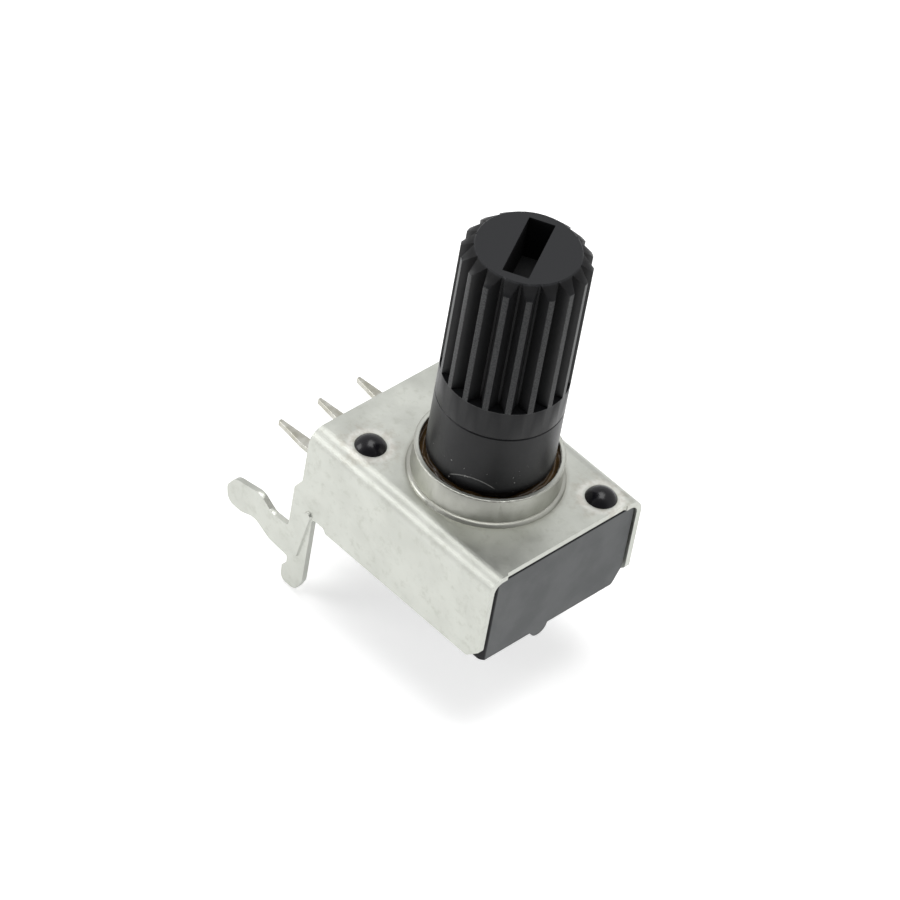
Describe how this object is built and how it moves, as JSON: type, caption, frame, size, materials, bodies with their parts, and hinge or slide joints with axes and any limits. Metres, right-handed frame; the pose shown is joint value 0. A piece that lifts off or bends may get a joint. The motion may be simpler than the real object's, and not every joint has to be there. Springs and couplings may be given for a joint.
{
  "type": "rotary potentiometer",
  "caption": "Small board-mounted rotary potentiometer with a splined, slotted plastic shaft, folded steel cover with snap-in lugs and a row of terminals.",
  "frame": {"origin": "on the shaft's axis, in the outer face of the cover's plate", "axes": "+Z out along the shaft; -X towards the board that the lugs and terminals enter; +Y across the two side walls, by the right hand rule"},
  "size_m": [0.0167, 0.0098, 0.0236],
  "materials": {
    "tinned_steel": "satin",
    "moulding": "matte",
    "shaft_moulding": "satin",
    "contact_bronze": "satin",
    "phenolic": "matte",
    "carbon": "matte",
    "silver_print": "satin",
    "terminal_tin": "satin",
    "eyelet_brass": "satin"
  },
  "bodies": {
    "base": {"cover": "tinned_steel", "housing": "moulding", "resistor_board": "phenolic", "carbon_track": "carbon", "end_electrodes": "silver_print", "collector_ring": "silver_print", "terminal_1": "terminal_tin", "terminal_2": "terminal_tin", "terminal_3": "terminal_tin", "terminal_eyelets": "eyelet_brass"},
    "shaft": {"rotor": "shaft_moulding", "wiper": "contact_bronze"}
  },
  "joints": [
    {"name": "shaft_turn", "type": "hinge", "parent": "base", "child": "shaft", "pos_m": [0, 0, 0], "axis": [0, 0, 1], "range_deg": [-168, 112]}
  ]
}
